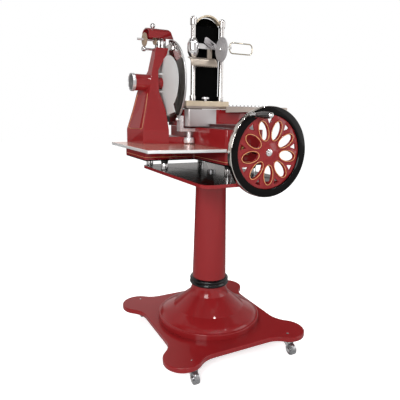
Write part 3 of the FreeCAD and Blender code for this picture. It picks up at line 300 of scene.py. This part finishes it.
def smooth_by_angle(mesh, degrees):
    """Round shading, but for edges that turn by more than these degrees."""
    mesh.shade_smooth()
    mesh.set_sharp_from_angle(angle=math.radians(degrees))


def eased(node, surface, width=0.0015, segments=3, degrees=35, keep_sharp=None):
    """The node's own shape, its edges rounded over by width in metres, but for those kept sharp."""
    shape = welded(node)
    bmesh.ops.dissolve_degenerate(shape, edges=shape.edges, dist=weld_distance)
    if keep_sharp:
        weight = shape.edges.layers.float.new("bevel_weight_edge")
        for edge in shape.edges:
            flat = edge.calc_face_angle(0) < math.radians(degrees)
            edge[weight] = 0.0 if flat or keep_sharp(edge) else 1.0
    mesh = bpy.data.meshes.new(node + "_eased")
    shape.to_mesh(mesh)
    shape.free()
    mesh.materials.append(surface)
    smooth_by_angle(mesh, degrees)
    piece = put_in_scene(node + "_eased", mesh)
    if width:
        rounding = piece.modifiers.new("rounded_edges", "BEVEL")
        rounding.width = width
        rounding.segments = segments
        rounding.limit_method = "WEIGHT" if keep_sharp else "ANGLE"
        rounding.angle_limit = math.radians(degrees)
        rounding.harden_normals = not keep_sharp
        rounding.use_clamp_overlap = True
        if keep_sharp:
            piece.modifiers.new("flat_faces", "WEIGHTED_NORMAL").keep_sharp = True
        rounded = plain_mesh(piece)
        piece.modifiers.clear()
        piece.data = rounded
    settle(piece, node)
    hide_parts(node)
    return piece


red_enamel = finish("red_enamel", (0.245, 0.012, 0.014), roughness=0.3, coat=0.6, grain=0.06,
                    grain_size=9, ripple=0.03, ripple_size=55, shift=0.07, specular=0.04)
corners = ("front_left", "front_right", "back_right", "back_left")
stem_from_fork_back = 0.024
stem_hole_reach = 0.012
stem_places = []
for corner in corners:
    fork_low, fork_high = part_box("caster_fork_" + corner)
    stem_places.append(Vector(((fork_low.x + fork_high.x) / 2,
                               fork_high.y - stem_from_fork_back, 0)))
eased("base_plate", red_enamel, 0.005, 4, keep_sharp=lambda edge: any(
    (edge.verts[0].co - place).xy.length < stem_hole_reach for place in stem_places))


# Bell foot.
# One spun bell on the plate, standing on a low rim and sweeping up to the neck, in the same
# red enamel as the plate.
def turned(name, section, centre, axis, surface, steps=128):
    """A turned piece: section lists (radius, height) in millimetres along the axis.

    It closes on itself, unless it starts and ends on the axis.
    """
    shape = bmesh.new()
    turn = {"z": Matrix.Identity(3), "x": Matrix.Rotation(math.pi / 2, 3, "Y"),
            "y": Matrix.Rotation(-math.pi / 2, 3, "X")}[axis]
    rows = []
    for radius, height in section:
        row = []
        for i in range(steps if radius else 1):
            a = 2 * math.pi * i / steps
            row.append(shape.verts.new(spot(*centre) + turn @ Vector(
                (radius * math.cos(a) / 1000, radius * math.sin(a) / 1000, height / 1000))))
        rows.append(row)
    pairs = list(zip(rows, rows[1:]))
    if section[0][0]:
        pairs.append((rows[-1], rows[0]))
    for low, high in pairs:
        for i in range(steps):
            j = (i + 1) % steps
            ring = dict.fromkeys((low[i % len(low)], low[j % len(low)],
                                  high[j % len(high)], high[i % len(high)]))
            if len(ring) > 2:
                shape.faces.new(list(ring))
    bmesh.ops.recalc_face_normals(shape, faces=shape.faces)
    mesh = bpy.data.meshes.new(name)
    shape.to_mesh(mesh)
    shape.free()
    mesh.materials.append(surface)
    smooth_by_angle(mesh, 32)
    return put_in_scene(name, mesh)


def curve_through(points, steps):
    """Points on a smooth line through the given (radius, height) places."""
    spread = [points[0]] + points + [points[-1]]
    line = []
    for a, b, c, d in zip(spread, spread[1:], spread[2:], spread[3:]):
        for i in range(steps):
            t = i / steps
            line.append(tuple(0.5 * (2 * b[k] + (c[k] - a[k]) * t
                                     + (2 * a[k] - 5 * b[k] + 4 * c[k] - d[k]) * t * t
                                     + (3 * b[k] - a[k] - 3 * c[k] + d[k]) * t ** 3)
                              for k in (0, 1)))
    return line + [points[-1]]


bell_lip = curve_through([(248, 110), (247, 114.5), (243, 116.5), (238, 117)], 3)
bell_sweep = curve_through([(238, 117), (226, 129), (197, 144), (161, 161), (129, 182),
                            (105, 206), (91, 231), (84, 252), (82, 266)], 5)
bell = turned("bell", [(236, 88.5), (248, 88.5)] + bell_lip + bell_sweep[1:]
              + [(73, 266), (73, 240), (236, 100)], (0, 0, 0), "z", red_enamel, 160)
settle(bell, "bell_foot")
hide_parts("bell_foot")


# Black collar.
# Two rolled beads of black enamelled iron hide the joint between the bell and the column.
black_enamel = finish("black_enamel", (0.004, 0.004, 0.0045), roughness=0.16, coat=0.35,
                      grain=0.03, ripple=0.03, specular=0.15)
low_bead = curve_through([(84, 266), (92, 269), (94, 276), (90, 283)], 6)
high_bead = curve_through([(89, 284), (93, 289), (92.5, 296), (86, 301), (83, 302)], 6)
collar = turned("collar", [(76, 266)] + low_bead + high_bead + [(76, 302)], (0, 0, 0), "z",
                black_enamel)
settle(collar, "foot_collar")
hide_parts("foot_collar")


# Column.
# A rolled and welded tube that narrows a little towards the top, enamelled red.
column = turned("column_tube", [(75, 302), (81.2, 302), (80.8, 310), (70, 798), (64, 798)],
                (0, 0, 0), "z", red_enamel, 160)
settle(column, "column")
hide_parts("column")


# Head plate and tie rod.
# A plate with a black polished top and a red edge closes the column; one long bolt clamps
# plate, column and bell to the foot plate.
def refinish(node, surface):
    """Keep the node's own shape and give it this finish."""
    nodes[node].data.materials.clear()
    nodes[node].data.materials.append(surface)


def finish_where(piece, surface, chosen):
    """Give one more finish to the piece, on the faces that chosen picks."""
    piece.data.materials.append(surface)
    for face in piece.data.polygons:
        if chosen(face):
            face.material_index = len(piece.data.materials) - 1


black_gloss = finish("black_gloss", (0.003, 0.0022, 0.0022), roughness=0.2, coat=0.08,
                     grain=0.04, ripple=0.03, specular=0.05)
bolt_steel = finish("bolt_steel", (0.36, 0.36, 0.37), metallic=1, roughness=0.32, grain=0.1,
                    grain_size=140)
head = eased("head_plate", black_gloss, 0.004, 4)
finish_where(head, red_enamel, lambda face: face.normal.z < 0.7)
refinish("tie_rod", bolt_steel)


# Casters.
# Pressed and plated forks on a ball race, each with a grey plated wheel between its cheeks.
chrome = finish("chrome", (0.66, 0.65, 0.65), metallic=1, roughness=0.13, grain=0.06,
                grain_size=24, ripple=0.02, ripple_size=160, shift=0.04)
tread = finish("tread", (0.34, 0.34, 0.35), metallic=0.9, roughness=0.28, grain=0.1,
               grain_size=120)
tyre_half = [(3.6, 12), (9, 12), (10, 10), (18, 10), (20, 11.6), (23, 11.8), (25.2, 10.6), (26, 8)]
tyre_section = [(radius, -side) for radius, side in tyre_half] + tyre_half[::-1]
for corner in corners:
    eased("caster_fork_" + corner, chrome, 0.0006, 2)
    wheel_low, wheel_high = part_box("caster_wheel_" + corner)
    hub = ((wheel_low + wheel_high) / 2 - stand_axis) * 1000
    wheel = turned("caster_tyre_" + corner, tyre_section, hub, "x", tread, 48)
    settle(wheel, "caster_wheel_" + corner)
    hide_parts("caster_wheel_" + corner)


# Machine feet.
# Short plated bars with a soft black washer on top carry the base casting clear of the plate.
pad_rubber = finish("pad_rubber", (0.02, 0.02, 0.02), roughness=0.6, grain=0.1, ripple=0.1,
                    ripple_size=300)
eased("machine_feet", chrome, 0.0015, 3)
eased("foot_pads", pad_rubber, 0.001, 2)


# Base casting.
# One hollow iron casting: a long trunk under the carriage and a low wing under the blade's
# tower, filled, rubbed down, enamelled and lined in gold. A black plate closes it from below.
gold_line = finish("gold_line", (0.72, 0.32, 0.12), roughness=0.35, grain=0.08, grain_size=120)


def gold_wire(name, points, half_thick, closed=False):
    """A raised line of gold paint through the points, half_thick in millimetres."""
    path = bpy.data.curves.new(name, "CURVE")
    path.dimensions = "3D"
    path.bevel_depth = half_thick / 1000
    path.bevel_resolution = 2
    run = path.splines.new("POLY")
    run.points.add(len(points) - 1)
    for at, point in zip(run.points, points):
        at.co = (*point, 1)
    run.use_cyclic_u = closed
    path.materials.append(gold_line)
    drawn = put_in_scene(name + "_path", path)
    mesh = plain_mesh(drawn)
    bpy.data.objects.remove(drawn)
    mesh.shade_smooth()
    return put_in_scene(name, mesh)


def length_of(line):
    return sum((a - b).length for a, b in zip(line, line[1:]))


def level_line(node, height):
    """The node's longest outline, in order, this many millimetres above its lowest point."""
    shape = welded(node)
    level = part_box(node)[0].z + height / 1000
    made = bmesh.ops.bisect_plane(shape, geom=shape.verts[:] + shape.edges[:] + shape.faces[:],
                                  dist=0.000001, plane_co=(0, 0, level), plane_no=(0, 0, 1),
                                  clear_inner=True, clear_outer=True)["geom_cut"]
    left = dict.fromkeys(edge for edge in made if isinstance(edge, bmesh.types.BMEdge))
    longest = []
    while left:
        onward = next(iter(left))
        walk = list(onward.verts)
        del left[onward]
        while onward := next((edge for edge in walk[-1].link_edges if edge in left), None):
            del left[onward]
            walk.append(onward.other_vert(walk[-1]))
        line = [corner.co.copy() for corner in walk]
        longest = max(longest, line, key=length_of)
    shape.free()
    return longest[:-1]


eased("machine_base", red_enamel, 0.007, 4)
base_line = gold_wire("base_gold_line", level_line("machine_base", 11), 0.9, closed=True)
settle(base_line, "machine_base")
eased("base_cover", black_gloss, 0.001, 2)


# Slice tray.
# A thick polished plate beside the blade, on which the slices land. Its top is painted a warm
# copper colour: a painted reflection of the red castings above it.
tray_plate = finish("tray_plate", (0.80, 0.80, 0.80), metallic=0.4, roughness=0.3, grain=0.05,
                    grain_size=18, ripple=0.02, ripple_size=60, shift=0.05)
# Painted reflection: the warm glow of the red castings, painted into the colour of the tray's top.
tray_top_painted_reflection = finish("tray_top_painted_reflection", (0.72, 0.42, 0.34), metallic=0.55, roughness=0.2, grain=0.05,
                  grain_size=18, ripple=0.02, ripple_size=60, shift=0.05)
tray = eased("slice_tray", tray_plate, 0.002, 3)
# The upward faces take the painted reflection of the red castings.
finish_where(tray, tray_top_painted_reflection, lambda face: face.normal.z > 0.9)


# Tower.
# A tapering hollow casting, lined in gold, that carries the blade shaft in a round housing.
# A screwed cover and a round steel cap close it on the left.
eased("tower", red_enamel, 0.007, 4, 28)
eased("tower_panel", red_enamel, 0.002, 3)
tower_skin = bmesh.new()
tower_skin.from_mesh(nodes["tower"].data)
tower_shell = BVHTree.FromBMesh(tower_skin)
tower_skin.free()
left_of_tower = -600
tower_depths = range(140, 400)
most_turned_away = -0.75


def tower_side(y, z):
    """The place on the tower's left side at this depth and height, or None beside it."""
    where, normal, _, _ = tower_shell.ray_cast(spot(left_of_tower, y, z), Vector((1, 0, 0)))
    return where if where and normal.x < most_turned_away else None


def side_edges(z):
    """Where the left side starts and ends at this height, in millimetres."""
    met = [y for y in tower_depths if tower_side(y, z)]
    return met[0], met[-1]


border_inset = 10
border_foot_drop = 5
border_foot_step = 6
border_heights = [1168 - 8 * i for i in range(21)]
lowest = border_heights[-1]
front, back = side_edges(lowest)
foot_points = int((back - front - 2 * border_inset) / border_foot_step)
front_run = [tower_side(side_edges(z)[0] + border_inset, z) for z in border_heights]
foot_run = [tower_side(front + border_inset + border_foot_step * i, lowest - border_foot_drop)
            for i in range(1, foot_points)]
back_run = [tower_side(side_edges(z)[1] - border_inset, z) for z in border_heights]
border = [point for point in front_run + foot_run + back_run[::-1] if point]
settle(gold_wire("tower_gold_border", border, 1.0), "tower")

shaft_y, shaft_z = 249, 1217
cap_place = (-303, shaft_y, shaft_z)
cap_face_radius = 0.0355
steel_cap = finish("steel_cap", (0.13, 0.125, 0.13), metallic=0.5, roughness=0.35, grain=0.08,
                   grain_size=40)
cap_rim = finish("cap_rim", (0.52, 0.51, 0.52), metallic=0.6, roughness=0.3, grain=0.06,
                 grain_size=40)
cap = turned("housing_cap", [(0, 2.5), (35, 2.5), (36.5, 2), (37, 0.6), (39, 0), (40.6, 1),
                             (41, 3), (41, 15), (37, 15), (0, 15)], cap_place, "x", cap_rim)
finish_where(cap, steel_cap, lambda face: face.normal.x < -0.9 and (
    face.center - spot(*cap_place)).yz.length < cap_face_radius)
settle(cap, "shaft_cap")
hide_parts("shaft_cap")
bronze = finish("bronze", (0.42, 0.24, 0.09), metallic=1, roughness=0.3, grain=0.1)
refinish("shaft_bushes", bronze)


# Blade and its shaft.
# A dished and hollow ground steel disc bolted to the flange of the shaft.
blade_place = (-106, shaft_y, shaft_z)
blade_steel = finish("blade_steel", (0.50, 0.48, 0.47), metallic=1, roughness=0.12, grain=0.05,
                     grain_size=30, ripple=0.35, ripple_size=26, shift=0.15)
blade = turned("knife", [(15, -5), (35, -5), (147, -5.8), (180, -2.6), (184, -1), (184, 0),
                         (132, 0), (128, -0.6), (15, -1.5)], blade_place, "x", blade_steel, 160)
settle(blade, "blade")
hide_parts("blade")
eased("blade_shaft", bolt_steel, 0.0008, 2)


# Blade guard and slice shield.
# A plated ring screens the cutting edge, mirror smooth inside and satin outside; a thin
# satin sheet in front of it lays the slices on the tray.
ring_middle_radius = 0.195


def ring_outside(face):
    """Whether the face is on the outside or the front of the guard's ring."""
    reach = (face.center - spot(*blade_place)).yz.length
    return reach > ring_middle_radius and face.normal.x < 0.5


ring_plating = finish("ring_plating", (0.42, 0.42, 0.42), metallic=0.7, roughness=0.32,
                      grain=0.08, grain_size=20)
ring_inside = finish("ring_inside", (0.36, 0.34, 0.33), metallic=1, roughness=0.1, grain=0.04,
                     grain_size=30, ripple=0.6, ripple_size=34, shift=0.35)
guard = eased("blade_guard", chrome, 0.0012, 3)
finish_where(guard, ring_plating, ring_outside)
finish_where(guard, ring_inside, lambda face: not ring_outside(face))
white_plating = finish("white_plating", (0.72, 0.71, 0.72), metallic=0.45, roughness=0.26,
                       grain=0.08, grain_size=26)
eased("guard_bracket", white_plating, 0.0015, 3)
satin_sheet = finish("satin_sheet", (0.61, 0.63, 0.62), metallic=0.1, roughness=0.45,
                     grain=0.05, grain_size=9, shift=0.05, specular=0.2)
eased("slice_shield", satin_sheet, 0.0008, 2)


# Crank wheel.
# A heavy iron wheel: red web with nine open petals lined in gold, in a rim with a black face
# and a plated tread. It turns the plated shaft, and the gears and chain inside the castings.
wheel_place = (60, -365, 932)
tread_radius = 0.1775
rim_tread = finish("rim_tread", (0.62, 0.59, 0.55), metallic=1, roughness=0.1, grain=0.05,
                   grain_size=30, ripple=1.0, ripple_size=42, shift=0.25)
rim = turned("wheel_rim", [(149, 1), (146, 4), (146, 25), (149, 28), (176, 28), (178.4, 27),
                           (179, 25), (179, 6), (178.4, 3.4), (177, 1.6), (174, 0)],
             wheel_place, "y", black_gloss, 192)
finish_where(rim, rim_tread, lambda face: (
    face.center - spot(*wheel_place)).xz.length > tread_radius)
settle(rim, "flywheel_rim")
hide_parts("flywheel_rim")
eased("flywheel_web", red_enamel, 0.0012, 3, 40)


def petal_lines(name, count, hub_to_middle, half_long, half_wide, half_thick, hub,
                loop_steps=64, wire_sides=8):
    """Gold lines round the petals, in millimetres, repeated about the hub by Geometry Nodes."""
    shape = bmesh.new()
    rings = []
    for i in range(loop_steps):
        a = 2 * math.pi * i / loop_steps
        place = Vector((half_wide * math.sin(a), 0,
                        -hub_to_middle - half_long * math.cos(a))) / 1000
        outward = Vector((math.sin(a) / half_wide, 0, -math.cos(a) / half_long)).normalized()
        ring = []
        for k in range(wire_sides):
            b = 2 * math.pi * k / wire_sides
            side = outward * math.cos(b) + Vector((0, -1, 0)) * math.sin(b)
            ring.append(shape.verts.new(place + side * half_thick / 1000))
        rings.append(ring)
    for ring, after in zip(rings, rings[1:] + rings[:1]):
        for k in range(wire_sides):
            j = (k + 1) % wire_sides
            shape.faces.new((ring[k], ring[j], after[j], after[k]))
    bmesh.ops.recalc_face_normals(shape, faces=shape.faces)
    line = bpy.data.meshes.new(name)
    shape.to_mesh(line)
    shape.free()
    line.shade_smooth()
    piece = put_in_scene(name, line)
    tree = bpy.data.node_groups.new("petals_round_hub", "GeometryNodeTree")
    tree.interface.new_socket("Geometry", in_out="INPUT", socket_type="NodeSocketGeometry")
    count_input = tree.interface.new_socket("Petal count", in_out="INPUT",
                                            socket_type="NodeSocketInt")
    tree.interface.new_socket("Geometry", in_out="OUTPUT", socket_type="NodeSocketGeometry")
    entry = tree.nodes.new("NodeGroupInput")
    spots = tree.nodes.new("GeometryNodeMeshLine")
    spots.inputs["Offset"].default_value = (0, 0, 0)
    copies = tree.nodes.new("GeometryNodeInstanceOnPoints")
    index = tree.nodes.new("GeometryNodeInputIndex")
    share = tree.nodes.new("ShaderNodeMath")
    share.operation = "DIVIDE"
    angle = tree.nodes.new("ShaderNodeMath")
    angle.operation = "MULTIPLY"
    angle.inputs[1].default_value = 2 * math.pi
    swing = tree.nodes.new("ShaderNodeCombineXYZ")
    real = tree.nodes.new("GeometryNodeRealizeInstances")
    coat = tree.nodes.new("GeometryNodeSetMaterial")
    coat.inputs["Material"].default_value = gold_line
    leave = tree.nodes.new("NodeGroupOutput")
    for source, target in ((entry.outputs["Petal count"], spots.inputs["Count"]),
                           (spots.outputs["Mesh"], copies.inputs["Points"]),
                           (entry.outputs["Geometry"], copies.inputs["Instance"]),
                           (index.outputs[0], share.inputs[0]),
                           (entry.outputs["Petal count"], share.inputs[1]),
                           (share.outputs[0], angle.inputs[0]),
                           (angle.outputs[0], swing.inputs["Y"]),
                           (swing.outputs[0], copies.inputs["Rotation"]),
                           (copies.outputs["Instances"], real.inputs[0]),
                           (real.outputs[0], coat.inputs["Geometry"]),
                           (coat.outputs[0], leave.inputs[0])):
        tree.links.new(source, target)
    repeat = piece.modifiers.new("petals", "NODES")
    repeat.node_group = tree
    repeat[count_input.identifier] = count
    repeated = plain_mesh(piece)
    piece.modifiers.clear()
    piece.data = repeated
    repeated.transform(Matrix.Translation(spot(*hub)))
    return piece


petal_gold = petal_lines("petal_gold_lines", count=9, hub_to_middle=89, half_long=40,
                         half_wide=22, half_thick=1.3, hub=(60, -361.2, 932))
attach(petal_gold, "crank_wheel")
eased("drive_shaft", chrome, 0.0008, 3)
eased("crank_pin", chrome, 0.0006, 3)
black_grip = finish("black_grip", (0.012, 0.011, 0.011), roughness=0.2, coat=0.8, grain=0.05)
eased("crank_grip", black_grip, 0.0006, 3, 40)
gear_iron = finish("gear_iron", (0.12, 0.12, 0.12), metallic=0.9, roughness=0.42, grain=0.1)
for node in ("drive_bevel", "cross_bevel", "cross_shaft", "drive_chain"):
    refinish(node, gear_iron)


# Carriage.
# A red casting on a dovetail way, with a polished cover screwed over its front left corner.
brushed_cover = finish("brushed_cover", (0.46, 0.43, 0.43), metallic=0.6, roughness=0.36,
                       grain=0.06, grain_size=12, stretch=(1, 1, 3), shift=0.06)
eased("slide_way", bolt_steel, 0.0008, 2)
eased("carriage", red_enamel, 0.003, 3)
eased("carriage_cover", brushed_cover, 0.003, 3)


# Meat table, its toothed rail and the feed screw.
# A satin steel table slides across the carriage on a screw; a row of spikes holds the meat,
# and a thick bar lying on the table carries the posts.
table_steel = finish("table_steel", (0.31, 0.26, 0.23), metallic=0.8, roughness=0.34,
                     grain=0.08, grain_size=26, stretch=(8, 1, 1), shift=0.08)
eased("meat_table", table_steel, 0.0015, 3)
eased("spike_rail", chrome, 0.0003, 2)
eased("feed_screw", chrome, 0.001, 3)
warm_bar = finish("warm_bar", (0.54, 0.45, 0.33), metallic=0.5, roughness=0.34, grain=0.08,
                  grain_size=22, stretch=(2, 1, 1), shift=0.22)
eased("post_bar", warm_bar, 0.0015, 3)


# Posts, arch and dark back panel.
# Two plated posts in collars, tied by an arch at the top, with a black sheet behind them.
# A wing knob beside them holds the bar down.
post_plating = finish("post_plating", (0.47, 0.45, 0.44), metallic=1, roughness=0.2,
                      grain=0.05, grain_size=24, stretch=(1, 1, 0.1))
eased("posts", post_plating, 0.0008, 3)
eased("post_arch", warm_bar, 0.0015, 3)
dark_panel = finish("dark_panel", (0.001, 0.001, 0.001), roughness=0.3, grain=0.03,
                    specular=0.02)
eased("back_panel", dark_panel, 0)
eased("wing_knob", white_plating, 0.0015, 3)


# Clamp.
# Plated sleeves on the posts carry the toothed press bar, the lever, a plain grey disc and
# the wire handle.
eased("clamp_body", chrome, 0.0012, 3)
press_steel = finish("press_steel", (0.33, 0.28, 0.23), metallic=0.6, roughness=0.36,
                     grain=0.08, grain_size=30, stretch=(4, 1, 1))
eased("press_bar", press_steel, 0.001, 3)
lever_steel = finish("lever_steel", (0.40, 0.38, 0.39), metallic=0.8, roughness=0.3,
                     grain=0.08, grain_size=30)
eased("clamp_lever", lever_steel, 0.001, 3)
grey_face = finish("grey_face", (0.28, 0.27, 0.275), roughness=0.42, grain=0.06, grain_size=30)
eased("clamp_disc", grey_face, 0.0012, 3)
warm_wire = finish("warm_wire", (0.42, 0.37, 0.28), metallic=1, roughness=0.25, grain=0.06,
                   grain_size=60)
eased("wire_loop", warm_wire, 0)


# Thickness dial.
# A plated knob under the end of the base, turned to set the slice.
eased("thickness_dial", white_plating, 0.001, 3)


# Sharpener.
# A small head on top of the tower under a red roof with a plated knob, with a grinding wheel
# and a honing wheel.
knob_height = 0.0235
knob_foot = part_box("sharpener_cover")[1].z - knob_height
roof = eased("sharpener_cover", red_enamel, 0.001, 3)
finish_where(roof, chrome, lambda face: face.center.z > knob_foot)
eased("sharpener_arm", chrome, 0.001, 3)
stone = finish("stone", (0.30, 0.22, 0.15), roughness=0.85, grain=0.1, grain_size=500,
               ripple=0.6, ripple_size=900)
eased("grinding_wheel", stone, 0.0006, 2)
eased("honing_wheel", stone, 0.0006, 2)


bpy.context.view_layer.update()
